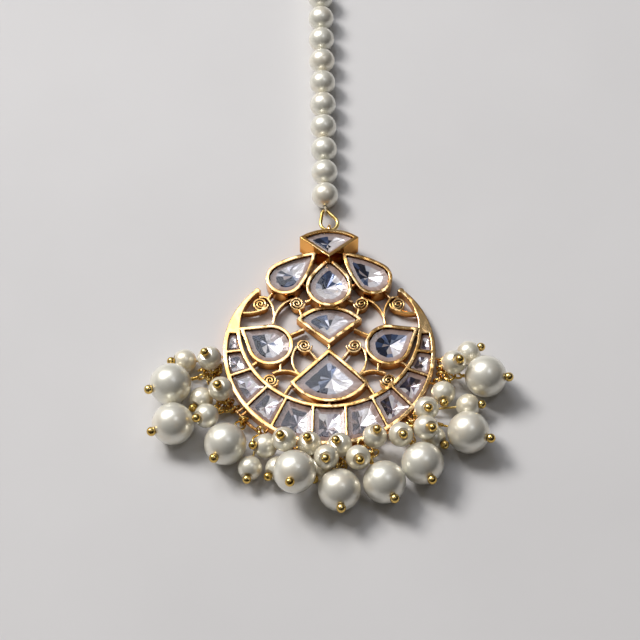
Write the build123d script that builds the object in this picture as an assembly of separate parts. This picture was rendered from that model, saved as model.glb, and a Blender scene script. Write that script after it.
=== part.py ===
from build123d import *

import math
import os

# A maang tikka: a gold forehead pendant set with foil-backed stones, fringed with pearl drops and
# hung from a string of pearls that ends in a hair hook. Millimetres and degrees. It lies on its back:
# X to the wearer's right, Y up along the string, Z up. Work is laid out about the crescent's centre
# and moved at the end, so that the origin is the middle of the box's bottom.

# Crescent
crescent_radius = 19.4
crescent_top = 2.0
hollow_radius = 16.4            # the round hollow that makes the disc a crescent
hollow_rise = 5.1               # how far the hollow's centre lies above the crescent's
horn_arc_radius = 17.0          # above the centre line the horns bend in on tighter arcs
hollow_horn_radius = 9.4
horn_tip_height = 12.6
horn_tip_centre = (13.35, 12.55)
horn_tip_radius = 0.5
outer_rim = 0.75
inner_rim = 0.65
separator_width = 0.45

# Where each pair of cell walls stands: angles from the bottom, on the hollow and on the outer circle.
wall_angles = [
    # hollow, outer
    (10.7, 9.0),
    (27.5, 33.0),
    (41.6, 51.6),
    (56.5, 73.0),
    (71.0, 88.0),
    (84.5, 100.6),
]

# Cups for the main stones
cup_base = 0.3
cup_top = 2.3
lotus_top = 3.2
cup_rim = 0.62
pocket_depth = 1.5

# Fans: half width, height of the corners, height of the arc's crown, height of the point.
upper_fan = (6.0, 6.2, 9.1, 1.1)
lower_fan = (7.1, -6.85, -10.9, 0.1)
top_fan = (5.5, 0.0, 2.05, -4.85)
top_fan_centre = (0, 22.75, 4.35)
top_fan_lean = 10
top_fan_wall = 4.6

# Drops: centre, tip, body radius, how far the sides swell past straight tangents (degrees).
pear = ((10.8, 0.9), (16.45, 4.5), 4.2, -2)
side_petal = ((8.25, 14.6), (2.45, 20.2), 3.5, 14)
centre_petal = ((0, 12.8), (0, 18.9), 4.25, 10)

# Stones
stone_gap = 0.08
table_sink = 0.12               # the table lies this far under the rim
crown_height = 0.42
girdle_height = 0.12
pavilion_height = 0.75
table_share = 0.62
culet_share = 0.3
corner_cut = 0.35
facet_length = 1.9
sharp_turn = 15                 # degrees; a gentler joint of the outline isn't a corner

# Scroll work between the cups
scroll_base = 0.5
scroll_top = 1.9
scroll_width = 0.4
spiral_wire = 0.3
spiral_pitch = 0.52
spiral_turns = 2.5
spirals = [(5.95, 9.85), (12.7, 9.7), (4.6, 0.9), (10.7, -6.3)]
scroll_arcs = [
    # start, middle, end
    ((5.9, 11.25), (8.5, 9.7), (10.3, 5.4)),
    ((10.4, 5.4), (10.25, 8.4), (11.5, 11.0)),
    ((11.5, 11.0), (12.1, 11.2), (12.9, 11.1)),
    ((6.0, 0.6), (6.75, -2.2), (5.2, -5.3)),
    ((5.3, -5.3), (7.8, -4.3), (10.3, -4.9)),
    ((11.6, 9.0), (13.4, 8.1), (16.2, 7.9)),
]
struts = [
    # start, end
    ((3.7, -0.1), (2.0, -2.4)),
    ((5.5, 8.6), (5.0, 6.9)),
    ((4.4, 10.2), (3.5, 10.5)),
    ((3.9, 13.6), (5.2, 13.9)),
    ((11.3, 11.0), (10.4, 12.2)),
    ((4.6, 4.4), (7.4, 3.0)),
    ((13.0, -2.4), (14.4, -3.5)),
    ((7.0, -7.3), (8.1, -9.2)),
    ((8.9, -2.5), (8.9, -4.6)),
]
centre_struts = [((0, 1.6), (0, -0.5)), ((0, 9.6), (0, 8.6)), ((0, -10.5), (0, -11.7))]

# Wire bows on the crescent's outer edge that hold the drops
bow_radius = 20.8
bow_height = 1.2
bow_wire = 0.3
bow_leg = 0.26
bow_overhang = 1.2              # degrees past the outer legs
bows = [
    # angles of the legs, counted from the bottom
    (-86.6, -69.9),
    (-66.0, -53.0),
    (-50.2, -34.6),
    (-24.3, -6.5, 9.6, 23.6),
    (32.2, 46.3, 59.6),
    (70.6, 85.5),
]

# Pearls, pins and jump rings
large_pearl = 3.8               # radius
small_pearl = 2.2
drill_radius = 0.4
pin_radius = 0.2
neck_wire = 0.14                # the pin's end is wound round its neck
neck_turns = 4
neck_start = 0.2
large_ball = 0.85
small_ball = 0.8
large_stand = 0.55              # from the pearl's surface to the ball's centre
small_stand = 0.28
seat_gap = 0.06
seat_radius = 1.15              # the flat ground round a small pearl's hole
seat_depth = 0.45
ring_radius = 1.0
loop_radius = 0.87
loop_wire = 0.22
link_play = 0.12                # free play between two interlocked wires

large_drops = {
    # name: (x, y, z, angle where it hangs on its bow, jump rings)
    "a": (-28.6, -8.2, 3.85, -77.7, 2),
    "b": (-27.9, -16.2, 3.85, -59.2, 2),
    "c": (-18.5, -20.2, 3.85, -47.4, 1),
    "d": (-6.15, -27.1, 6.8, -12.7, 1),
    "e": (1.7, -29.2, 3.85, 3.1, 2),
    "f": (9.6, -27.7, 3.85, 17.0, 2),
    "g": (16.4, -24.0, 3.85, 39.7, 2),
    "h": (28.2, -6.6, 3.85, 76.3, 2),
    "i": (24.7, -17.9, 3.85, 48.8, 2),
}
small_drops = {
    "left": [
        (-26.3, -2.6, 2.25, -84.6, 1),
        (-21.7, -3.3, 4.7, -81.3, 0),
        (-19.5, -9.8, 5.1, -63.9, 0),
        (-23.1, -10.4, 2.25, -71.9, 0),
        (-21.9, -15.2, 5.0, -55.0, 0),
        (-14.1, -24.2, 2.3, -37.0, 1),
        (-11.4, -20.5, 3.6, -22.1, 0),
    ],
    "middle": [
        (-8.0, -20.6, 6.5, -18.8, 0),
        (-9.2, -24.3, 2.25, -15.9, 0),
        (-3.6, -20.6, 4.8, -8.9, 0),
        (-0.6, -24.2, 6.7, -0.8, 0),
        (1.8, -20.9, 4.8, 7.2, 0),
        (5.0, -23.9, 5.9, 12.0, 0),
        (8.0, -19.2, 4.9, 21.4, 0),
        (-2.2, -24.4, 2.25, -4.1, 0),
    ],
    "right": [
        (12.6, -19.3, 5.7, 34.5, 0),
        (17.0, -18.3, 6.6, 42.5, 0),
        (17.3, -13.8, 5.1, 53.8, 0),
        (20.5, -9.4, 2.7, 72.2, 0),
        (18.6, -18.3, 2.3, 44.5, 0),
        (22.4, -4.6, 5.5, 79.9, 0),
        (25.4, -0.9, 2.3, 83.2, 0),
        (24.9, -11.9, 2.5, 56.0, 0),
    ],
}

# Bail, string and hook
bail_height = 2.5
bail_wire = 0.33
bail_radius = 1.6
bail_centre = (0, 27.0)
bail_tip_radius = 0.65
bail_tip = (-0.69, 29.1)
eyelet_radius = 0.85
eyelet_centre = 25.3
string_start = (-0.75, 33.3)    # centre of the first pearl
string_end = (-1.5, 75.5)       # the string's line passes here
string_pearl = 2.52
string_pitch = 5.28
string_count = 11
thread_radius = 0.2
thread_loop = 0.75
thread_loop_wire = 0.22
hook_wire = 0.35
hook_eye = 1.0
hook_leg = 8.0
hook_bend = 2.2
hook_return = 6.0
hook_slope = 6.5


def on_circle(radius, angle, rise=0.0):
    """A point at an angle from the bottom, counted towards +X, of a circle about (0, rise)."""
    turn = math.radians(angle)
    return Vector(radius * math.sin(turn), rise - radius * math.cos(turn))


right_half = Pos(50, 0) * Rectangle(100, 200)


def mirrored(items):
    """Each item and its mirror image across the middle."""
    return [copy for item in items for copy in (item, item.mirror(Plane.YZ))]


def slab(face, bottom, top):
    """A flat face of the plan as a solid between two heights."""
    return extrude(Pos(0, 0, bottom) * face, top - bottom, dir=(0, 0, 1))


# ---------------------------------------------------------------- outlines


def horned_disc(lower_radius, horn_radius, rise):
    """A disc whose upper half bends in on two tighter arcs."""
    shift = lower_radius - horn_radius
    lower = Circle(lower_radius) & Pos(0, -lower_radius) * Rectangle(2 * lower_radius, 2 * lower_radius)
    upper = Pos(shift, 0) * Circle(horn_radius) + Pos(-shift, 0) * Circle(horn_radius)
    upper += Pos(0, horn_radius / 2) * Rectangle(2 * shift, horn_radius)
    upper &= Pos(0, lower_radius) * Rectangle(2 * lower_radius, 2 * lower_radius)
    return Pos(0, rise) * (lower + upper)


def crescent_outline(outer_inset=0.0, hollow_inset=0.0):
    outer = horned_disc(crescent_radius - outer_inset, horn_arc_radius - outer_inset, 0)
    hollow = horned_disc(hollow_radius + hollow_inset, hollow_horn_radius + hollow_inset, hollow_rise)
    below_tips = Pos(0, horn_tip_height - crescent_radius) * Rectangle(60, 2 * crescent_radius)
    return (outer - hollow) & below_tips


def fan_outline(half_width, corner, crown, point):
    left, right = (-half_width, corner), (half_width, corner)
    return make_face([ThreePointArc(left, (0, crown), right), Line(right, (0, point)), Line((0, point), left)])


def drop_outline(centre, tip, radius, swell):
    """A round body drawn out to a tip by two arcs that leave the body tangentially."""
    axis = Vector(*tip) - Vector(*centre)
    reach = axis.length
    turn = math.acos(radius / reach) + math.radians(swell)
    start = Vector(radius * math.cos(turn), radius * math.sin(turn))
    heading = Vector(math.sin(turn), -math.cos(turn))
    side = TangentArc(start, (reach, 0), tangent=heading)
    other = side.mirror(Plane.XZ)
    body = ThreePointArc(start, (-radius, 0), (start.X, -start.Y))
    angle = math.degrees(math.atan2(axis.Y, axis.X))
    return Pos(*centre) * (Rot(0, 0, angle) * make_face([side, other, body]))


# ---------------------------------------------------------------- stones


def facet_points(outline):
    """Corner-cut polygon points that follow an outline, so that each side makes one facet."""
    wire = outline.face().outer_wire()
    length = wire.length
    marks = sorted(wire.param_at_point(tuple(vertex)) % 1 for vertex in outline.vertices())
    corners = [mark for mark in marks if turn_at(wire, mark) > sharp_turn]
    points = []
    for here, after in zip(corners, corners[1:] + [corners[0] + 1]):
        first, last = here + corner_cut / length, after - corner_cut / length
        count = math.ceil((last - first) * length / facet_length)
        points += [wire.position_at((first + (last - first) * k / count) % 1) for k in range(count + 1)]
    return points


def turn_at(wire, mark):
    """How sharply a closed wire turns at a parameter, in degrees."""
    step = 0.05 / wire.length
    return wire.tangent_at((mark - step) % 1).get_angle(wire.tangent_at((mark + step) % 1))


def polyhedron(rings):
    """A closed solid with flat sides between rings of points, all with the same count."""
    count = len(rings[0])
    faces = [Face(Wire.make_polygon(rings[0])), Face(Wire.make_polygon(rings[-1]))]
    for low, high in zip(rings, rings[1:]):
        for k in range(count):
            after = (k + 1) % count
            faces.append(Face(Wire.make_polygon([low[k], low[after], high[after], high[k]])))
    return Solid(Shell(faces))


def cut_stone(cup, top):
    """A stone for a pocket outline: pavilion, girdle, crown facets and a flat table."""
    points = facet_points(offset(cup, -stone_gap))
    middle = sum(points, Vector()) * (1 / len(points))
    girdle = top - table_sink - crown_height - girdle_height
    levels = [
        (culet_share, girdle - pavilion_height),
        (1.0, girdle),
        (1.0, girdle + girdle_height),
        (table_share, top - table_sink),
    ]
    rings = []
    for share, height in levels:
        ring = [middle + (point - middle) * share for point in points]
        rings.append([Vector(point.X, point.Y, height) for point in ring])
    return polyhedron(rings)


# ---------------------------------------------------------------- frame


def cell_walls():
    """The cell walls of the crescent, as thin strips from the hollow to the outer edge."""
    strips = []
    for hollow_angle, outer_angle in wall_angles:
        near = on_circle(hollow_radius - 1, hollow_angle, hollow_rise)
        far = on_circle(crescent_radius + 1, outer_angle)
        strips.append(strip(near, far, separator_width))
    return mirrored(strips)


def strip(start, end, width):
    start, end = Vector(*start), Vector(*end)
    run = end - start
    angle = math.degrees(math.atan2(run.Y, run.X))
    middle = (start + end) * 0.5
    return Pos(middle.X, middle.Y) * (Rot(0, 0, angle) * Rectangle(run.length, width))


def crescent_cells():
    """The eleven pockets of the crescent, from the left horn round to the right."""
    pocket = crescent_outline(outer_rim, inner_rim)
    for wall in cell_walls():
        pocket -= wall
    faces = [face for face in pocket.faces() if face.center().Y < on_circle(crescent_radius, wall_angles[-1][1]).Y]
    by_angle = sorted(faces, key=lambda face: math.atan2(face.center().X, -face.center().Y))
    return [face for face in by_angle if face.area > 1]


def cup(outline, top):
    """A closed setting: a floor and a wall round a pocket."""
    inner = offset(outline, -cup_rim)
    return slab(outline, cup_base, top) - slab(inner, top - pocket_depth, top + 1), inner


def spiral(x, y):
    """A flat wire spiral of half rings whose centres alternate."""
    parts = []
    for k in range(round(2 * spiral_turns)):
        radius = spiral_pitch / 2 * (k + 1)
        shift = spiral_pitch / 4 * (1 if k % 2 else -1)
        ring = Circle(radius + spiral_wire / 2)
        if radius > spiral_wire / 2:
            ring -= Circle(radius - spiral_wire / 2)
        side = 1 if k % 2 else -1
        half = Pos(0, side * radius) * Rectangle(4 * radius, 2 * radius)
        parts.append(Pos(x + shift, y) * (ring & half))
    return parts


def bow(legs):
    """A wire bow that stands off the crescent's edge on soldered legs, for the drops' loops."""
    first, last = legs[0] - bow_overhang, legs[-1] + bow_overhang
    start, heading = bow_point(first)
    parts = [revolve(Plane(origin=start, z_dir=heading) * Circle(bow_wire), Axis.Z, last - first)]
    for leg in legs:
        foot = on_circle(crescent_radius - outer_rim / 2, leg) + Vector(0, 0, bow_height)
        parts.append(rod(foot, bow_point(leg)[0], bow_leg))
    return parts


def rod(start, end, radius):
    run = end - start
    return extrude(Plane(origin=start, z_dir=run) * Circle(radius), run.length)


def ring(centre, normal, radius, wire, seam=None):
    """A round wire ring; its seam lies beside the place where something is soldered to it."""
    return Plane(origin=centre, x_dir=seam, z_dir=normal) * Torus(radius, wire)


def leaning_fan():
    """The top fan's deep cup leans back from the petals; returned with its pocket and its plane."""
    lean = math.radians(top_fan_lean)
    plane = Plane(origin=top_fan_centre, x_dir=(1, 0, 0), z_dir=(0, math.sin(lean), math.cos(lean)))
    outline = fan_outline(*top_fan)
    inner = offset(outline, -cup_rim)
    body = plane * slab(outline, -top_fan_wall, 0)
    body &= Pos(0, 0, cup_base) * Box(80, 80, 20, align=(Align.CENTER, Align.CENTER, Align.MIN))
    return body - plane * slab(inner, -pocket_depth, 1), inner, plane


def gold_frame(cells, cups, fan_cup):
    crescent = slab(crescent_outline(), 0, crescent_top)
    for cell in cells:
        crescent -= slab(cell, crescent_top - pocket_depth, crescent_top + 1)
    pieces = [fan_cup, *[body for body, _ in cups.values()]]
    flat = [trace(ThreePointArc(*arc), scroll_width) for arc in scroll_arcs]
    flat += [strip(start, end, scroll_width) for start, end in struts]
    for place in spirals:
        flat += spiral(*place)
    scrolls = mirrored([slab(face, scroll_base, scroll_top) for face in flat])
    scrolls += [slab(strip(start, end, scroll_width), scroll_base, scroll_top) for start, end in centre_struts]
    tips = mirrored([slab(Pos(*horn_tip_centre) * Circle(horn_tip_radius), 0, crescent_top)])
    wires = [part for legs in bows for part in bow(legs)]
    eyelet = ring((0, eyelet_centre, bail_height), (1, 0, 0), eyelet_radius, bail_wire)
    whole = crescent.fuse(*pieces, *scrolls, *tips, *wires, eyelet)
    for name, (_, pocket) in cups.items():
        top = lotus_top if "petal" in name else cup_top
        whole -= slab(pocket, top - pocket_depth, top)
    return whole


# ---------------------------------------------------------------- drops


def bow_point(angle):
    """A point on a bow, and the bow's direction there."""
    turn = math.radians(angle)
    return on_circle(bow_radius, angle) + Vector(0, 0, bow_height), Vector(math.cos(turn), math.sin(turn), 0)


def drop(row, pearl_radius, ball_radius, stand):
    """One pearl drop: the drilled pearl, its head pin and the jump rings that carry it."""
    x, y, z, angle, ring_count = row
    centre = Vector(x, y, z)
    hang, along = bow_point(angle)
    heading = (centre - hang).normalized()
    rings = []
    normal, middle, out = along, hang, (heading - along * heading.dot(along)).normalized()
    if ring_count:
        out = heading
        normal = (along - heading * along.dot(heading)).normalized()
        middle = hang + heading * (ring_radius - bow_wire - loop_wire - link_play)
        for k in range(ring_count):
            rings.append(ring(middle, normal, ring_radius, loop_wire))
            normal = heading.cross(normal)
            next_radius = loop_radius if k == ring_count - 1 else ring_radius
            middle += heading * (ring_radius + next_radius - 2 * loop_wire - link_play)
    start = middle + out * loop_radius
    heading = (centre - start).normalized()
    to_ball = (centre - start).length + pearl_radius + stand
    lean = math.degrees(math.atan2(heading.dot(normal), heading.dot(out)))
    pin = head_pin(to_ball, to_ball - 2 * pearl_radius - stand, ball_radius, lean)
    place = Plane(origin=start, x_dir=normal.cross(out), z_dir=out)
    bead = Plane(origin=centre, z_dir=heading) * pearl(pearl_radius, ball_radius, stand)
    return bead, place * pin, rings


def pearl(radius, ball_radius=0.0, stand=0.0):
    """A pearl drilled along Z, with a seat at its top for a pin's ball; a small one is ground flat there."""
    section = Circle(radius) - Rectangle(2 * drill_radius, 3 * radius)
    if ball_radius:
        section -= Pos(0, radius + stand) * Circle(ball_radius + seat_gap)
    if radius == small_pearl:
        section -= Pos(0, radius + seat_radius - seat_depth) * Rectangle(2 * seat_radius, 2 * seat_radius)
    return revolve(Plane.XZ * (section & right_half), Axis.Z)


def head_pin(length, free, ball_radius, lean):
    """A head pin whose shaft starts at the origin: its loop lies in the XZ plane, under the shaft, which
    leans from Z towards Y and carries the wound neck and, at its end, the ball."""
    section = Pos(0, length / 2 - 0.025) * Rectangle(2 * pin_radius, length + 0.05)
    section += Pos(0, length) * Circle(ball_radius)
    turns = min(neck_turns, int((free - neck_start) / (2 * neck_wire)))
    for turn in range(turns):
        section += Pos(pin_radius, neck_start + neck_wire * (2 * turn + 1)) * Circle(neck_wire + 0.01)
    shaft = Rot(-lean, 0, 0) * revolve(Plane.XZ * (section & right_half), Axis.Z)
    loop = Pos(0, 0, -loop_radius) * (Rot(90, 0, 0) * Torus(loop_radius, loop_wire))
    return shaft.fuse(loop)


# ---------------------------------------------------------------- bail, string and hook


def tapered_loop(wide_centre, wide_radius, narrow_centre, narrow_radius):
    """The path round two circles of different size, joined by their outer tangents."""
    axis = Vector(*narrow_centre) - Vector(*wide_centre)
    lean = math.degrees(math.asin((wide_radius - narrow_radius) / axis.length))
    turn = math.degrees(math.atan2(axis.Y, axis.X))
    centre_one, centre_two = Vector(*wide_centre), Vector(*narrow_centre)

    def at(centre, radius, angle):
        return centre + Vector(radius, 0).rotate(Axis.Z, turn + angle)

    side = 90 - lean
    return Wire([
        ThreePointArc(at(centre_one, wide_radius, side), at(centre_one, wide_radius, 180),
                      at(centre_one, wide_radius, -side)).edge(),
        Line(at(centre_one, wide_radius, -side), at(centre_two, narrow_radius, -side)).edge(),
        ThreePointArc(at(centre_two, narrow_radius, -side), at(centre_two, narrow_radius, 0),
                      at(centre_two, narrow_radius, side)).edge(),
        Line(at(centre_two, narrow_radius, side), at(centre_one, wide_radius, side)).edge(),
    ])


def bail():
    path = Pos(0, 0, bail_height) * tapered_loop(bail_centre, bail_radius, bail_tip, bail_tip_radius)
    start = path.position_at(0)
    return sweep(Plane(origin=start, z_dir=path.tangent_at(0)) * Circle(bail_wire), path=path)


def string_line():
    """The string's first pearl centre and its direction."""
    start = Vector(*string_start, string_pearl)
    return start, (Vector(*string_end, string_pearl) - start).normalized()


def string_pearls():
    start, heading = string_line()
    places = [start + heading * string_pitch * k for k in range(string_count)]
    return Compound(children=[(Plane(origin=place, z_dir=heading) * pearl(string_pearl)).solid() for place in places])


def thread_ends():
    """Centres of the thread's two end loops: one round the bail's tip, one for the hook's eye."""
    start, heading = string_line()
    tip = start - heading * ((start.Y - bail_tip[1] - bail_tip_radius) / heading.Y)
    last = start + heading * (string_pitch * (string_count - 1) + string_pearl + hook_eye + 3 * thread_radius)
    return tip, last


def string_thread():
    _, heading = string_line()
    near, far = thread_ends()
    side = heading.cross(Vector(0, 0, 1))
    near_loop = ring(near, side, thread_loop, thread_loop_wire, Vector(0, 0, 1))
    far_loop = ring(far, side, hook_eye, thread_loop_wire, Vector(0, 0, 1))
    run = rod(near + heading * thread_loop, far - heading * hook_eye, thread_radius)
    return run.fuse(near_loop, far_loop)


def hair_hook():
    """A plain wire hook: an eye, a straight leg, a bend and a short return."""
    _, far = thread_ends()
    slope = math.radians(hook_slope)
    plane = Plane(origin=far - Vector(0, 0, hook_wire), x_dir=(1, 0, 0), z_dir=(0, math.sin(slope), math.cos(slope)))
    eye = plane * (Pos(0, hook_eye) * Torus(hook_eye, hook_wire))
    leg_start, leg_end = (0, 2 * hook_eye), (0, 2 * hook_eye + hook_leg)
    bend_top = (hook_bend, leg_end[1] + hook_bend)
    turn_end = (2 * hook_bend, leg_end[1])
    path = plane * Wire([
        Line(leg_start, leg_end).edge(),
        ThreePointArc(leg_end, (hook_bend, bend_top[1]), turn_end).edge(),
        Line(turn_end, (2 * hook_bend, leg_end[1] - hook_return)).edge(),
    ])
    wire = sweep(Plane(origin=path.position_at(0), z_dir=path.tangent_at(0)) * Circle(hook_wire), path=path)
    return wire.fuse(eye, Pos(*path.position_at(1)) * Sphere(hook_wire))


# ---------------------------------------------------------------- assembly


def build():
    cups = {
        "upper_fan": cup(fan_outline(*upper_fan), cup_top),
        "lower_fan": cup(fan_outline(*lower_fan), cup_top),
    }
    for side, sign in (("left", -1), ("right", 1)):
        for name, shape, top in (("pear", pear, cup_top), ("petal", side_petal, lotus_top)):
            (x, y), (tip_x, tip_y), radius, swell = shape
            outline = drop_outline((sign * x, y), (sign * tip_x, tip_y), radius, swell)
            cups[f"{name}_{side}"] = cup(outline, top)
    cups["petal_centre"] = cup(drop_outline(*centre_petal), lotus_top)
    fan_cup, fan_pocket, fan_plane = leaning_fan()
    cells = crescent_cells()

    parts = {"gold_frame": gold_frame(cells, cups, fan_cup), "top_fan_stone": fan_plane * cut_stone(fan_pocket, 0)}
    for name, (_, pocket) in cups.items():
        parts[f"{name}_stone"] = cut_stone(pocket, lotus_top if "petal" in name else cup_top)
    for number, cell in enumerate(cells, 1):
        parts[f"crescent_stone_{number:02d}"] = cut_stone(cell, crescent_top)

    links = []
    for name, row in large_drops.items():
        bead, pin, rings = drop(row, large_pearl, large_ball, large_stand)
        parts[f"large_pearl_{name}"], parts[f"large_pin_{name}"] = bead, pin
        links += rings
    for side, rows in small_drops.items():
        drops = [drop(row, small_pearl, small_ball, small_stand) for row in rows]
        parts[f"small_pearls_{side}"] = Compound(children=[bead.solid() for bead, _, _ in drops])
        parts[f"small_pins_{side}"] = Compound(children=[pin.solid() for _, pin, _ in drops])
        links += [link for _, _, rings in drops for link in rings]
    parts["jump_rings"] = Compound(children=[link.solid() for link in links])

    parts["bail"] = bail()
    parts["string_pearls"] = string_pearls()
    parts["string_thread"] = string_thread()
    parts["hair_hook"] = hair_hook()
    return parts


def main():
    os.makedirs("parts", exist_ok=True)
    parts = build()
    boxes = [part.bounding_box() for part in parts.values()]
    low = [min(tuple(box.min)[axis] for box in boxes) for axis in range(3)]
    high = [max(tuple(box.max)[axis] for box in boxes) for axis in range(3)]
    home = Pos(-(low[0] + high[0]) / 2, -(low[1] + high[1]) / 2, -low[2])
    print("origin moved by", home.position, "size", [round(b - a, 2) for a, b in zip(low, high)])
    for name, part in parts.items():
        export_step(home * part, f"parts/{name}.step")


main()
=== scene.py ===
import math
import random

import bmesh
import bpy
from mathutils import Euler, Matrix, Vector
from mathutils.bvhtree import BVHTree


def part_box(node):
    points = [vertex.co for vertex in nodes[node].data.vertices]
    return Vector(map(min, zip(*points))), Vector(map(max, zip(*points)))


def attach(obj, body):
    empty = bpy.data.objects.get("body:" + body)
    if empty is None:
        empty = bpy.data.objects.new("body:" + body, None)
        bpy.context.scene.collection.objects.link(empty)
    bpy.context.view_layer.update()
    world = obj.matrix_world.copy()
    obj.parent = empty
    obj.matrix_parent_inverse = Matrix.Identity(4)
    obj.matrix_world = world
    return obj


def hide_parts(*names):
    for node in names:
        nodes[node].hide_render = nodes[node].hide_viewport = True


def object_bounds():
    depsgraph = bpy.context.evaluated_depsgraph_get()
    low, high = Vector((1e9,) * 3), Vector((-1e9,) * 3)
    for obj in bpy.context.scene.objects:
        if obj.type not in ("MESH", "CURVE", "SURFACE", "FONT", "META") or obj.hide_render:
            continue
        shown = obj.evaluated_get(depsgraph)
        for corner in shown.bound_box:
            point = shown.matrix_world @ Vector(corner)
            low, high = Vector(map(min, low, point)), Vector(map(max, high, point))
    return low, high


# A maang tikka lying on a pale floor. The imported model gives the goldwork, pins, rings and pearls their
# shapes. This script twists the thread, hangs spare links, cuts the stones, gives every piece its material,
# and adds camera, floor, lights and room.

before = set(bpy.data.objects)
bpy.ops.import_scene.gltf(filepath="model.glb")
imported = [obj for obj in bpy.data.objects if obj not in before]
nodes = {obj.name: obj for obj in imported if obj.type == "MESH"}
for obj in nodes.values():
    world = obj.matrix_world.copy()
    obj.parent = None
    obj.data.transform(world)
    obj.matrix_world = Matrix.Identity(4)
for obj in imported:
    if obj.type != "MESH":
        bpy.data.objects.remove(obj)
cadLow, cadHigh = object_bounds()
mm = 0.001


# Camera

# the crescent's centre, from which camera and lights are set
bowReach = 21.1 * mm                      # the wire bows stand this far out below the centre
centreX = sum(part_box("upper_fan_stone"), Vector()).x / 2
centre = Vector((centreX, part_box("gold_frame")[0].y + bowReach, 0))

cameraLook = {
    "target": (-1.7, 7.35),               # mm from the crescent's centre, on the floor
    "elevation": 60.0,                    # degrees above the floor
    "distance": 400.0,                    # mm
    "lens": 121.5,                        # mm
    "sensor": 36.0,                       # mm across
}


def newObject(name, data):
    obj = bpy.data.objects.new(name, data)
    bpy.context.scene.collection.objects.link(obj)
    return obj


def makeCamera(look):
    data = bpy.data.cameras.new("camera")
    data.lens = look["lens"]
    data.sensor_width = look["sensor"]
    data.clip_start = 10 * mm
    obj = newObject("camera", data)
    tilt = math.radians(look["elevation"])
    target = centre + Vector((*look["target"], 0)) * mm
    obj.location = target + Vector((0, -math.cos(tilt), math.sin(tilt))) * look["distance"] * mm
    obj.rotation_euler = (math.pi / 2 - tilt, 0, 0)
    bpy.context.scene.camera = obj


makeCamera(cameraLook)


# Materials


def colour(code):
    parts = [int(code[k:k + 2], 16) / 255 for k in (1, 3, 5)]
    return (*[c / 12.92 if c <= 0.04045 else ((c + 0.055) / 1.055) ** 2.4 for c in parts], 1)


def feed(tree, node, links):
    # links maps an input's name or number to a socket or a value
    for key, value in links.items():
        socket = node.inputs[key]
        if isinstance(value, bpy.types.NodeSocket):
            tree.links.new(value, socket)
        else:
            socket.default_value = value


def add(tree, kind, links=None, **settings):
    node = tree.nodes.new(kind)
    for name, value in settings.items():
        setattr(node, name, value)
    feed(tree, node, links or {})
    return node


def newMaterial(name):
    material = bpy.data.materials.new(name)
    material.use_nodes = True
    tree = material.node_tree
    shader = tree.nodes["Principled BSDF"]
    place = add(tree, "ShaderNodeTexCoord").outputs["Object"]
    return material, tree, shader, place


def ramp(tree, value, *stops):
    node = add(tree, "ShaderNodeValToRGB", {"Fac": value})
    elements = node.color_ramp.elements
    while len(elements) < len(stops):
        elements.new(0.5)
    for element, (position, tone) in zip(elements, stops):
        element.position = position
        element.color = tone if isinstance(tone, tuple) else (tone, tone, tone, 1)
    return node.outputs["Color"]


def noise(tree, place, size, detail=3.0, distortion=0.0):
    # blotches about size millimetres across
    inputs = {"Vector": place, "Scale": 1 / (size * mm), "Detail": detail, "Distortion": distortion}
    return add(tree, "ShaderNodeTexNoise", inputs).outputs["Fac"]


def mix(tree, factor, one, other, blend="MIX"):
    # inputs 6 and 7 and output 2 are the ones for colours
    inputs = {"Factor": factor, 6: one, 7: other}
    return add(tree, "ShaderNodeMix", inputs, data_type="RGBA", blend_type=blend).outputs[2]


def spread(tree, value, low, high):
    # a value from 0 to 1 made into one from low to high
    return add(tree, "ShaderNodeMapRange", {"Value": value, "To Min": low, "To Max": high}).outputs["Result"]


def openness(tree, reach):
    # 1 in the open, less where other surfaces stand within reach millimetres
    return add(tree, "ShaderNodeAmbientOcclusion", {"Distance": reach * mm}, samples=8).outputs["AO"]


def bump(tree, height, depth, strength, **more):
    inputs = {"Height": height, "Distance": depth * mm, "Strength": strength, **more}
    return add(tree, "ShaderNodeBump", inputs).outputs["Normal"]


goldLook = {
    "bright": "#FFD9A0",
    "warm": "#F2BC70",
    "patch": 3.5,                         # mm across the patches of bright and warm
    "wall": "#F0B25C",                    # painted shade: upright faces get a richer, darker gold than the tops
    "wallSlope": (0.3, 0.8),              # how level a face is, from wall to top
    "deep": "#D08C3A",                    # painted shade and reflection: a deeper orange below the rims, where gold mirrors gold
    "deepLevel": (0.9, 1.9),              # mm above the floor, from the painted deep orange to the plain gold
    "paintedCornerShade": "#6A3A12",                   # painted shade in the corners of the setting
    "cornerDepth": 0.8,                   # mm, how far the painted corner shade reaches
    "roughness": (0.07, 0.17),
    "smudge": 0.8,                        # mm across the smudges in the polish
    "edgeRadius": 0.3,                    # mm
    "wave": (2.7, 0.15),                  # mm, length and height of the hand-filed unevenness
}
# the pins get the same painted shade on walls, low parts and corners, in their own tones
pinLook = dict(
    goldLook,
    bright="#F3D890",
    warm="#D2AE5C",
    wall="#DFBA64",
    deep="#94702A",
    deepLevel=(-1.0, 0.6),
    paintedCornerShade="#2E2208",
    cornerDepth=0.4,
    roughness=(0.18, 0.32),
    edgeRadius=0.04,
    wave=(0.8, 0.03))


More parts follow.
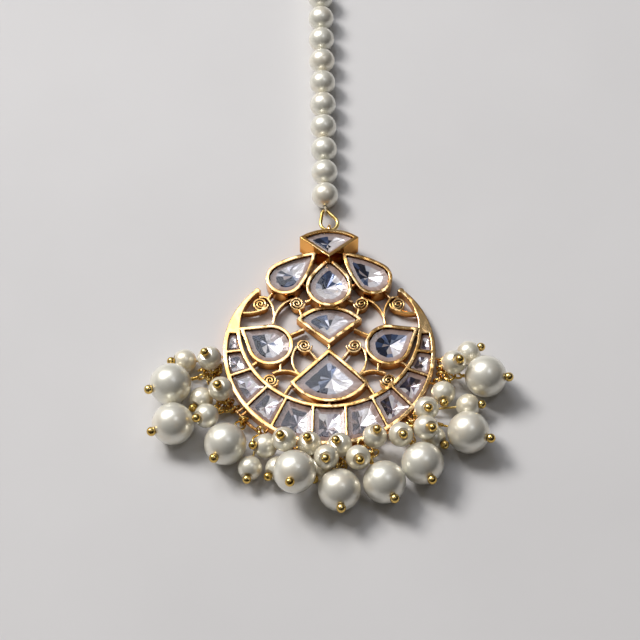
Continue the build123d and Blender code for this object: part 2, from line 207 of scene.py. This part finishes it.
def goldMaterial(name, look):
    # Gold plate over cast brass: polished tops with softly rounded edges, with painted shade that makes the
    # walls and low parts a deeper orange and the corners dark
    material, tree, shader, place = newMaterial(name)
    patch = noise(tree, place, look["patch"], 4)
    plate = ramp(tree, patch, (0.38, colour(look["warm"])), (0.6, colour(look["bright"])))
    # painted shade: the more upright a face stands, the more it is tinted towards the wall gold
    facing = add(tree, "ShaderNodeTexCoord").outputs["Normal"]
    upward = add(tree, "ShaderNodeSeparateXYZ", {0: facing}).outputs["Z"]
    low, high = look["wallSlope"]
    level = add(tree, "ShaderNodeMapRange", {"Value": upward, "From Min": low, "From Max": high})
    plate = mix(tree, level.outputs["Result"], colour(look["wall"]), plate)
    # painted shade and reflection: parts below the rims are tinted a deeper orange
    height = add(tree, "ShaderNodeSeparateXYZ", {0: place}).outputs["Z"]
    low, high = look["deepLevel"]
    raised = add(tree, "ShaderNodeMapRange", {
        "Value": height, "From Min": low * mm, "From Max": high * mm}, interpolation_type="SMOOTHSTEP")
    plate = mix(tree, raised.outputs["Result"], colour(look["deep"]), plate)
    # painted shade: corners where other surfaces stand near are darkened
    corner = ramp(tree, openness(tree, look["cornerDepth"]), (0.15, 0.8), (0.62, 0.0))
    rounded = add(tree, "ShaderNodeBevel", {"Radius": look["edgeRadius"] * mm}, samples=6).outputs["Normal"]
    length, rise = look["wave"]
    feed(tree, shader, {
        "Base Color": mix(tree, corner, plate, colour(look["paintedCornerShade"])),
        "Metallic": 1,
        "Roughness": spread(tree, noise(tree, place, look["smudge"], 5, 0.4), *look["roughness"]),
        "Normal": bump(tree, noise(tree, place, length, 1.5), rise, 1.0, Normal=rounded)})
    return material


pearlLook = {
    "body": "#F2EFE2",
    "shade": "#E9E7DA",
    "warm": "#F6EEDB",
    "cloud": 4.0,                         # mm across the soft patches of these tones
    "lustre": 0.46,                       # how much of the light the nacre's layers mirror
    "roughness": (0.33, 0.4),
    "grain": 1.6,                         # mm across the patches of more and less gloss
    "ior": 1.53,
    "skinRoughness": 0.2,
    "skinIor": 1.6,
    "ripple": (1.2, 0.02, 0.05),          # mm across, mm deep, and its strength
}
creamLook = dict(pearlLook, body="#F2EDDC", shade="#EAE7D6", warm="#F4EAD0")


def pearlMaterial(name, look):
    # Nacre: a creamy body under a soft, silky mirror, with a clear skin that holds the sharper light
    material, tree, shader, place = newMaterial(name)
    cloud = noise(tree, place, look["cloud"], 2, 0.3)
    tones = [colour(look[key]) for key in ("warm", "body", "shade")]
    length, depth, strength = look["ripple"]
    feed(tree, shader, {
        "Base Color": ramp(tree, cloud, *zip((0.3, 0.5, 0.7), tones)),
        "Metallic": look["lustre"],
        "Roughness": spread(tree, noise(tree, place, look["grain"], 3), *look["roughness"]),
        "IOR": look["ior"],
        "Coat Weight": 1.0,
        "Coat Roughness": look["skinRoughness"],
        "Coat IOR": look["skinIor"],
        "Normal": bump(tree, noise(tree, place, length, 1), depth, strength)})
    return material


glassLook = {
    "tint": "#FDFBFC",
    "marks": 0.5,                         # mm across the polishing marks
    "roughness": (0.02, 0.07),
    "mirror": 0.04,                       # share of the light that it mirrors head-on
    "rise": 5.0,                          # how late towards edge-on that share grows
}


def glassMaterial(look):
    # Polished glass: clear, so that the foil shows through it, with a mirror of the room that grows edge-on
    material, tree, shader, place = newMaterial("stoneGlass")
    marks = noise(tree, place, look["marks"], 4)
    feed(tree, shader, {
        "Base Color": colour("#FFFFFF"),
        "Metallic": 1,
        "Roughness": spread(tree, marks, *look["roughness"])})
    clear = add(tree, "ShaderNodeBsdfTransparent", {"Color": colour(look["tint"])}).outputs[0]
    slant = add(tree, "ShaderNodeLayerWeight", {"Blend": 0.5}).outputs["Facing"]
    steep = add(tree, "ShaderNodeMath", {0: slant, 1: look["rise"]}, operation="POWER").outputs[0]
    gloss = spread(tree, steep, look["mirror"], 1.0)
    both = add(tree, "ShaderNodeMixShader", {0: gloss, 1: clear, 2: shader.outputs[0]}).outputs[0]
    feed(tree, tree.nodes["Material Output"], {"Surface": both})
    return material


foilLook = {
    "crinkle": (0.35, 0.03, 0.3),         # mm across, mm deep, and its strength
    "crinkleShade": 0.2,                          # how much painted shade in the crinkles' hollows darkens a facet's tone
    "mirror": 0.4,                        # share of the light that a bright facet mirrors
    "roughness": 0.18,
}


def foilMaterial(look):
    # Tin foil pressed behind the facets: each facet has a painted tone, from white to navy, standing in for
    # the room it mirrors, with fine crinkles across all of them
    material, tree, shader, place = newMaterial("stoneFoil")
    tone = add(tree, "ShaderNodeAttribute", attribute_name="tone")
    length, depth, strength = look["crinkle"]
    crinkle = noise(tree, place, length, 5)
    # painted shade in the hollows of the crinkles
    shadow = ramp(tree, crinkle, (0.3, 0.6), (0.7, 1.0))
    feed(tree, shader, {
        "Base Color": mix(tree, look["crinkleShade"], tone.outputs["Color"], shadow, "MULTIPLY"),
        "Metallic": spread(tree, tone.outputs["Alpha"], 0.0, look["mirror"]),
        "Roughness": look["roughness"],
        "Normal": bump(tree, crinkle, depth, strength)})
    return material


silkLook = {
    "light": "#EFE4C8",
    "shade": "#CDBB90",
    "plyShade": "#6E5A30",                    # painted shade where the plies meet
    "plyShadeDepth": 0.15,                    # mm, how far the painted shade reaches
    "fibre": (0.2, 0.02, 0.4),            # mm across, mm deep, and its strength
    "roughness": 0.6,
    "sheen": 0.3,
}


def silkMaterial(look):
    # Twisted silk: off-white, with a soft sheen on each ply and painted shade where the plies meet
    material, tree, shader, place = newMaterial("silkThread")
    length, depth, strength = look["fibre"]
    fibre = noise(tree, place, length, 5, 0.5)
    fair = ramp(tree, fibre, (0.35, colour(look["shade"])), (0.65, colour(look["light"])))
    # painted shade where the plies nearly touch
    plyShade = ramp(tree, openness(tree, look["plyShadeDepth"]), (0.2, 0.7), (0.8, 0.0))
    feed(tree, shader, {
        "Base Color": mix(tree, plyShade, fair, colour(look["plyShade"])),
        "Roughness": look["roughness"],
        "Sheen Weight": look["sheen"],
        "Normal": bump(tree, fibre, depth, strength)})
    return material


gold = goldMaterial("goldPlate", goldLook)
pinGold = goldMaterial("goldPins", pinLook)
pearl = pearlMaterial("pearlNacre", pearlLook)
smallPearl = pearlMaterial("creamNacre", creamLook)
glass = glassMaterial(glassLook)
foil = foilMaterial(foilLook)
silk = silkMaterial(silkLook)
print("materials made")


def dress(obj, material):
    obj.data.materials.clear()
    obj.data.materials.append(material)


for name, node in nodes.items():
    if name == "gold_frame":
        dress(node, gold)
    elif "pin" in name or name in ("bail", "jump_rings", "hair_hook"):
        dress(node, pinGold)
    elif "pearl" in name:
        dress(node, smallPearl if "small" in name else pearl)
print("model dressed")


# Geometry Nodes


def newTree(name, kinds):
    # a tree with these named inputs: the tree, the inputs as sockets, and their identifiers
    tree = bpy.data.node_groups.new(name, "GeometryNodeTree")
    face = tree.interface
    face.new_socket("Geometry", in_out="OUTPUT", socket_type="NodeSocketGeometry")
    keys = {}
    for key, kind in kinds.items():
        keys[key] = face.new_socket(key, in_out="INPUT", socket_type="NodeSocket" + kind).identifier
    return tree, add(tree, "NodeGroupInput").outputs, keys


def endTree(tree, shape, material):
    soft = add(tree, "GeometryNodeSetShadeSmooth", {"Geometry": shape})
    whole = add(tree, "GeometryNodeRealizeInstances", {"Geometry": soft.outputs[0]})
    done = add(tree, "GeometryNodeSetMaterial", {"Geometry": whole.outputs[0], "Material": material})
    add(tree, "NodeGroupOutput", {"Geometry": done.outputs[0]})


def grow(name, guideData, tree, keys, values):
    # the plain mesh that the tree makes from a guide, with its inputs set to these values
    guide = newObject(name + "_guide", guideData)
    modifier = guide.modifiers.new("grow", "NODES")
    modifier.node_group = tree
    for key, value in values.items():
        modifier[keys[key]] = value
    made = guide.evaluated_get(bpy.context.evaluated_depsgraph_get())
    piece = newObject(name, bpy.data.meshes.new_from_object(made))
    bpy.data.objects.remove(guide)
    dress(piece, values["Material"])
    return piece


# Thread

threadLook = {
    "width": 0.4,                         # mm across the twisted thread
    "plies": 3,
    "ply": 0.232,                         # a ply's radius as a share of the width, so that three just touch
    "turn": 1.5,                          # mm of thread for one full twist
    "knotLoop": 0.75,                     # mm, radius of the loop round the bail
    "step": 0.12,                         # mm between the rings of the mesh
}


def threadPath(look):
    # a loop round the bail's tip, the run through the pearls, and a loop through the hook's eye
    low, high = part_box("string_thread")
    thick = look["width"] / 2 * mm
    level = (low.z + high.z) / 2
    nearLoop = look["knotLoop"] * mm
    farLoop = (high.z - low.z) / 2 - thick
    near = Vector((high.x - thick, low.y + nearLoop + thick, level))
    far = Vector((low.x + thick, high.y - farLoop - thick, level))
    heading = (far - near).normalized()
    rise = Vector((0, 0, 1))

    def loop(middle, along, radius, turns=32):
        angles = [2 * math.pi * k / turns for k in range(turns + 1)]
        return [middle + (along * math.cos(angle) + rise * math.sin(angle)) * radius for angle in angles]

    return loop(near, heading, nearLoop) + loop(far, -heading, farLoop)


def twistTree():
    # plies set in a circle, twisted along the path
    tree, inputs, keys = newTree("twistedThread", {
        "Path": "Geometry",
        "Plies": "Int",
        "Ply": "Float",                   # a ply's radius
        "Reach": "Float",                 # from the thread's middle to a ply's
        "Turn": "Float",
        "Step": "Float",
        "Material": "Material"})
    resample = {"Curve": inputs["Path"], "Length": inputs["Step"]}
    smooth = add(tree, "GeometryNodeResampleCurve", resample, mode="LENGTH")
    run = add(tree, "GeometryNodeSplineParameter").outputs["Length"]
    turns = add(tree, "ShaderNodeMath", {0: run, 1: inputs["Turn"]}, operation="DIVIDE").outputs[0]
    angle = add(tree, "ShaderNodeMath", {0: turns, 1: 2 * math.pi}, operation="MULTIPLY").outputs[0]
    twisted = add(tree, "GeometryNodeSetCurveTilt", {"Curve": smooth.outputs[0], "Tilt": angle})
    strand = add(tree, "GeometryNodeCurvePrimitiveCircle", {"Resolution": 10, "Radius": inputs["Ply"]})
    spots = add(tree, "GeometryNodeMeshCircle", {"Vertices": inputs["Plies"], "Radius": inputs["Reach"]})
    placed = add(tree, "GeometryNodeInstanceOnPoints", {
        "Points": spots.outputs[0], "Instance": strand.outputs[0]})
    profile = add(tree, "GeometryNodeRealizeInstances", {"Geometry": placed.outputs[0]})
    tube = add(tree, "GeometryNodeCurveToMesh", {
        "Curve": twisted.outputs[0], "Profile Curve": profile.outputs[0], "Fill Caps": True})
    endTree(tree, tube.outputs[0], inputs["Material"])
    return tree, keys


def makeThread(look):
    points = threadPath(look)
    curve = bpy.data.curves.new("threadPath", "CURVE")
    curve.dimensions = "3D"
    spline = curve.splines.new("POLY")
    spline.points.add(len(points) - 1)
    for point, place in zip(spline.points, points):
        point.co = (*place, 1)
    width = look["width"] * mm
    thread = grow("twisted_thread", curve, *twistTree(), {
        "Plies": look["plies"],
        "Ply": look["ply"] * width,
        "Reach": (0.5 - look["ply"]) * width,
        "Turn": look["turn"] * mm,
        "Step": look["step"] * mm,
        "Material": silk})
    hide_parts("string_thread")
    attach(thread, "root")
    print("thread twisted,", len(thread.data.polygons), "faces")


makeThread(threadLook)


# Spare links: small rings that hang loose on the jump rings and on each other

linkLook = {
    "radius": 0.8,                        # mm, to the middle of the wire
    "wire": 0.17,                         # mm, the wire's own radius
    "play": 0.5,                          # mm that a ring may sit off the wire it hangs on
    "room": 0.03,                         # mm kept clear all round
    "height": 5.2,                        # mm above the floor, the top of the tangle
    "tries": 30000,                       # random places that are tested
    "most": 48,                           # the most rings
    "seed": 7,
}


def ringShape(middle, axis, radius, wire, around=14, across=6):
    # corners and faces of a ring, for testing where there is room for it
    side = axis.orthogonal().normalized()
    other = axis.cross(side)
    points = []
    for k in range(around):
        turn = 2 * math.pi * k / around
        out = side * math.cos(turn) + other * math.sin(turn)
        for j in range(across):
            lean = 2 * math.pi * j / across
            points.append(middle + out * (radius + wire * math.cos(lean)) + axis * wire * math.sin(lean))
    faces = []
    for k in range(around):
        for j in range(across):
            near, far = k * across, (k + 1) % around * across
            faces.append((near + j, far + j, far + (j + 1) % across, near + (j + 1) % across))
    return points, faces


def findRoom(look):
    # middles and axes of rings that go round a jump ring's wire, or one another's, and touch nothing
    chance = random.Random(look["seed"])
    solids = {}
    for name, node in nodes.items():
        if "stone" not in name and "string" not in name:
            corners = [vertex.co for vertex in node.data.vertices]
            solids[name] = BVHTree.FromPolygons(corners, [face.vertices for face in node.data.polygons])
    obstacles = list(solids.values())
    carriers = [solids["jump_rings"]]
    spots = [vertex.co for vertex in nodes["jump_rings"].data.vertices]
    radius, wire = look["radius"] * mm, look["wire"] * mm
    top = cadLow.z + look["height"] * mm
    found = []
    for attempt in range(look["tries"]):
        play = Vector([chance.uniform(-1, 1) for k in range(3)]) * look["play"] * mm
        middle = chance.choice(spots) + play
        axis = Vector([chance.uniform(-1, 1) for k in range(3)]).normalized()
        points, faces = ringShape(middle, axis, radius, wire + look["room"] * mm)
        levels = [point.z for point in points]
        if len(found) == look["most"] or min(levels) < cadLow.z or max(levels) > top:
            continue
        ring = BVHTree.FromPolygons(points, faces)
        if any(ring.overlap(solid) for solid in obstacles):
            continue
        # what goes through the ring's hole carries it
        hole = BVHTree.FromPolygons(*ringShape(middle, axis, radius / 2, radius / 2 - wire, across=2))
        if not any(hole.overlap(carrier) for carrier in carriers):
            continue
        obstacles.append(ring)
        carriers.append(ring)
        spots += points
        found.append((middle, axis))
    return found


def linkTree():
    # one ring, set on each point and turned to its axis
    tree, inputs, keys = newTree("looseLinks", {
        "Places": "Geometry", "Radius": "Float", "Wire": "Float", "Material": "Material"})
    hoop = add(tree, "GeometryNodeCurvePrimitiveCircle", {"Resolution": 24, "Radius": inputs["Radius"]})
    wire = add(tree, "GeometryNodeCurvePrimitiveCircle", {"Resolution": 8, "Radius": inputs["Wire"]})
    ring = add(tree, "GeometryNodeCurveToMesh", {"Curve": hoop.outputs[0], "Profile Curve": wire.outputs[0]})
    axis = add(tree, "GeometryNodeInputNamedAttribute", {"Name": "axis"}, data_type="FLOAT_VECTOR")
    turned = add(tree, "FunctionNodeAlignRotationToVector", {"Vector": axis.outputs[0]}, axis="Z")
    placed = add(tree, "GeometryNodeInstanceOnPoints", {
        "Points": inputs["Places"], "Instance": ring.outputs[0], "Rotation": turned.outputs[0]})
    endTree(tree, placed.outputs[0], inputs["Material"])
    return tree, keys


def makeLinks(look):
    found = findRoom(look)
    places = bpy.data.meshes.new("linkPlaces")
    places.from_pydata([middle for middle, axis in found], [], [])
    places.attributes.new("axis", "FLOAT_VECTOR", "POINT")
    for item, (middle, axis) in zip(places.attributes["axis"].data, found):
        item.vector = axis
    links = grow("spare_links", places, *linkTree(), {
        "Radius": look["radius"] * mm,
        "Wire": look["wire"] * mm,
        "Material": pinGold})
    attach(links, "root")
    print("spare links hung:", len(found))


makeLinks(linkLook)


# Stones

stoneLook = {
    "solidGirdle": (0.3, 0.5),            # mm under its top, between which the solid's girdle lies
    "table": 0.74,                        # widths of the levels as shares of the girdle
    "tableDrop": 0.1,                     # mm under the top of the solid
    "crown": 0.12,                        # mm
    "girdle": 0.1,                        # mm
    "heart": 0.72,                        # where the plain margin ends and the bright facets begin
    "ragged": 0.03,                       # how far that edge strays in and out
    "inner": 0.42,                        # where the outer ring of bright facets ends
    "uneven": (0.2, 0.1),                 # how far that end strays, in width and in depth
    "marginDepth": 0.3,                   # mm
    "slope": 0.35,                        # rise over run of the bright facets
    "depth": 1.0,                         # mm, the most under the girdle
    "side": 0.7,                          # mm, the longest side that one facet may have at the girdle
    "wedge": (0.7, 1.5),                  # mm, least and greatest width of a bright facet at its outer end
    "drift": 0.22,                        # how far the facets' meeting point may lie off centre
    "lean": 1.2,                          # radians that the side of the stone painted light may turn away from +X
    "scatter": 0.62,                      # how far a facet's tone may stray from its neighbours'
    "lightFrom": 0.05,                    # painted from dark on one side of the stone (-1) to light on the other (1)
    "darkTo": -0.3,
    "fade": (0.8, 1.0),                   # how much a facet's painted tone changes between its corners
    # the margin's tones: the foil seen through the glass, with a painted reflection of the gold setting
    "margin": ["#AE9384", "#9C8272", "#BCA191", "#A58C7E"],
    "marginEdge": "#BBADA9",              # its painted tone beside the bright facets, lighter
    # painted reflections: white for the bright room, blue-grey and navy for the dark
    "light": ["#FFFFFF", "#FFFFFF", "#FAFBFF", "#F0F3FC"],
    "middle": ["#C6D0E4", "#9CADCB", "#E2E8F3", "#7E8FB0", "#D3C8C8"],
    "dark": ["#1A2540", "#101930", "#2E3E5E", "#455A80"],
}
crescentLook = dict(
    stoneLook,
    heart=0.7,
    wedge=(0.5, 1.2),
    scatter=0.9,
    lightFrom=0.2,
    margin=["#94786A", "#7E6456", "#A88A7A"],
    marginEdge="#A8948C",
    middle=["#C9BEC2", "#9C9199", "#DDD8E2", "#857C8A", "#B49F98"],
    dark=["#413C4E", "#24243A", "#5E5666", "#50423F"])


def stonePlan(name, look):
    # the girdle's points in their order round the stone, raised to the table's level, and the table's normal
    mesh = nodes[name].data
    table = max(mesh.polygons, key=lambda face: (round(face.normal.z, 2), face.area))
    up = table.normal.copy()
    top = max(vertex.co.dot(up) for vertex in mesh.vertices)
    middle = sum((vertex.co for vertex in mesh.vertices), Vector()) / len(mesh.vertices)
    side = Vector((1, 0, 0))
    across = up.cross(side)
    least, most = look["solidGirdle"]
    points = {}
    for vertex in mesh.vertices:
        drop = top - vertex.co.dot(up)
        if least * mm < drop < most * mm:
            flat = vertex.co - middle
            key = (round(flat.dot(side) / mm, 2), round(flat.dot(across) / mm, 2))
            points[key] = vertex.co + up * drop
    ordered = sorted(points, key=lambda key: math.atan2(key[1], key[0]))
    return [points[key] for key in ordered], up


def divided(outline, longest):
    # the same outline with corners added along its long sides
    points = []
    for near, far in zip(outline, outline[1:] + outline[:1]):
        parts = max(1, math.ceil((far - near).length / longest))
        points += [near.lerp(far, k / parts) for k in range(parts)]
    return points


def wedgeStarts(lengths, limits, chance):
    # where the bright facets begin, counted in corners of the outline, with random widths
    starts, run, goal = [0], 0, chance.uniform(*limits)
    for k, length in enumerate(lengths):
        run += length
        if run >= goal and k + 1 < len(lengths):
            starts.append(k + 1)
            run, goal = 0, chance.uniform(*limits)
    return starts + [len(lengths)]


def paintFaces(mesh, faces, heart, look, chance):
    # a painted tone on each face's corners, standing in for what the facets mirror, with 1 in alpha for the
    # mirroring facets and 0 for the plain margin
    tone = mesh.loops.layers.float_color.new("tone")
    marginEdge = Vector(colour(look["marginEdge"])[:3])
    for made, kind in faces:
        pick = Vector(colour(chance.choice(look[kind]) if kind else "#FFFFFF")[:3])
        for loop in made.loops:
            fade = chance.uniform(*look["fade"]) if kind else 1.0
            shown = marginEdge if kind == "margin" and loop.vert in heart else pick
            loop[tone] = (*(shown * fade), 0.0 if kind == "margin" else 1.0)


def cutStone(name, look, seed):
    # a flat table and a low crown over a pavilion of facets, foiled behind, with tones painted from light on
    # one side to dark on the other
    outline, up = stonePlan(name, look)
    outline = divided(outline, look["side"] * mm)
    chance = random.Random(seed)
    middle = sum(outline, Vector()) / len(outline)
    radius = sum((point - middle).length for point in outline) / len(outline)
    # the way to the side of the stone whose facets are painted light
    bright = Vector((1, 0, 0))
    bright.rotate(Euler((0, 0, chance.uniform(-look["lean"], look["lean"]))))
    count = len(outline)
    mesh = bmesh.new()

    def corner(spot, width, drop):
        return mesh.verts.new(middle + (spot - middle) * width - up * drop * mm)

    base = look["tableDrop"] + look["crown"] + look["girdle"]
    heartDepth = base + look["marginDepth"]
    depth = base + min(look["depth"], look["marginDepth"] + look["slope"] * look["heart"] * radius / mm)
    table = [corner(spot, look["table"], look["tableDrop"]) for spot in outline]
    girdle = [corner(spot, 1, base - look["girdle"]) for spot in outline]
    belt = [corner(spot, 1, base) for spot in outline]
    heart = []
    for spot in outline:
        width = look["heart"] * (1 + chance.uniform(-look["ragged"], look["ragged"]))
        heart.append(corner(spot, width, heartDepth))
    lengths = [(outline[(k + 1) % count] - outline[k]).length * look["heart"] / mm for k in range(count)]
    starts = wedgeStarts(lengths, look["wedge"], chance)
    inner = []
    share = look["inner"] / look["heart"]
    across, along = look["uneven"]
    for k in starts[:-1]:
        width = look["inner"] * chance.uniform(1 - across, 1 + across)
        drop = heartDepth + (depth - heartDepth) * (1 - share) * chance.uniform(1 - along, 1 + along)
        inner.append(corner(outline[k], width, drop))
    reach = look["drift"] * radius
    off = Vector((chance.uniform(-reach, reach), chance.uniform(-reach, reach), 0))
    point = mesh.verts.new(middle + off * look["heart"] - up * depth * mm)
    faces = []

    def face(corners, slot, kind=None):
        made = mesh.faces.new(corners)
        made.material_index = slot
        if kind == "facet":
            # painted light: facets towards the bright side get light tones, those away from it dark
            side = (made.calc_center_median() - middle).normalized().dot(bright)
            side += chance.uniform(-look["scatter"], look["scatter"])
            kind = "light" if side > look["lightFrom"] else "dark" if side < look["darkTo"] else "middle"
        faces.append((made, kind))

    face(table, 0)
    for k in range(count):
        after = (k + 1) % count
        face([girdle[k], girdle[after], table[after], table[k]], 0)
        face([belt[k], belt[after], girdle[after], girdle[k]], 0)
        face([belt[after], belt[k], heart[k], heart[after]], 1, "margin")
    for k, (first, last) in enumerate(zip(starts, starts[1:])):
        after = (k + 1) % len(inner)
        face([heart[j % count] for j in range(last, first - 1, -1)] + [inner[k], inner[after]], 1, "facet")
        face([inner[after], inner[k], point], 1, "facet")
    bmesh.ops.recalc_face_normals(mesh, faces=mesh.faces)
    paintFaces(mesh, faces, set(heart), look, chance)
    data = bpy.data.meshes.new(name + "_cut")
    mesh.to_mesh(data)
    mesh.free()
    obj = newObject(name + "_cut", data)
    data.materials.append(glass)
    data.materials.append(foil)
    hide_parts(name)
    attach(obj, "root")


for seed, name in enumerate(sorted(n for n in nodes if "stone" in n)):
    cutStone(name, crescentLook if "crescent" in name else stoneLook, seed)
print("stones cut")


# Floor, lights and room

floorLook = {
    "size": 4,                            # m
    "tones": ("#D6D5D5", "#DAD9D9"),
    "patch": 40,                          # mm across the patches of these tones
    "roughness": 0.85,
}


def makeFloor(look):
    # Matt plaster: an even pale grey, with a faint cloud in it
    bpy.ops.mesh.primitive_plane_add(size=look["size"], location=(0, 0, cadLow.z))
    floor = bpy.context.object
    floor.name = "floor"
    material, tree, shader, place = newMaterial("paleFloor")
    tones = [colour(code) for code in look["tones"]]
    shade = ramp(tree, noise(tree, place, look["patch"], 4), *zip((0.3, 0.7), tones))
    feed(tree, shader, {"Base Color": shade, "Roughness": look["roughness"]})
    dress(floor, material)


lights = {
    # name: (x, y, z of the lamp in mm from the crescent's centre, size in mm, watts, colour)
    "key": ((-840, 640, 1080), 480, 18.0, "#FFFCFA"),
    "window": ((-128, 258, 442), 255, 0.62, "#F3F7FF"),
    "ceiling": ((300, 0, 1000), 260, 0.6, "#F1F4FF"),
}


def makeLights(table):
    for name, (place, size, power, tint) in table.items():
        data = bpy.data.lights.new(name, "AREA")
        data.size = size * mm
        data.energy = power
        data.color = colour(tint)[:3]
        obj = newObject(name, data)
        obj.location = centre + Vector(place) * mm
        obj.rotation_euler = (centre - obj.location).to_track_quat("-Z", "Y").to_euler()


roomLook = {
    "bright": (-0.55, 0.5, 0.67),         # the way to its brightest side
    "tones": ((0.3, "#1C1815"), (0.65, "#57534E"), (0.95, "#A8A5A0")),
    "strength": 0.7,
}


def makeRoom(look):
    # a dim room, lighter at the upper left
    world = bpy.data.worlds.new("studio")
    bpy.context.scene.world = world
    world.use_nodes = True
    tree = world.node_tree
    away = add(tree, "ShaderNodeTexCoord").outputs["Generated"]
    side = add(tree, "ShaderNodeVectorMath", {0: away, 1: look["bright"]}, operation="DOT_PRODUCT")
    share = add(tree, "ShaderNodeMapRange", {"Value": side.outputs["Value"], "From Min": -1, "From Max": 1})
    stops = [(place, colour(code)) for place, code in look["tones"]]
    feed(tree, tree.nodes["Background"], {
        "Color": ramp(tree, share.outputs["Result"], *stops),
        "Strength": look["strength"]})


makeFloor(floorLook)
makeLights(lights)
makeRoom(roomLook)
bpy.context.scene.view_settings.view_transform = "Standard"
print("stage set")
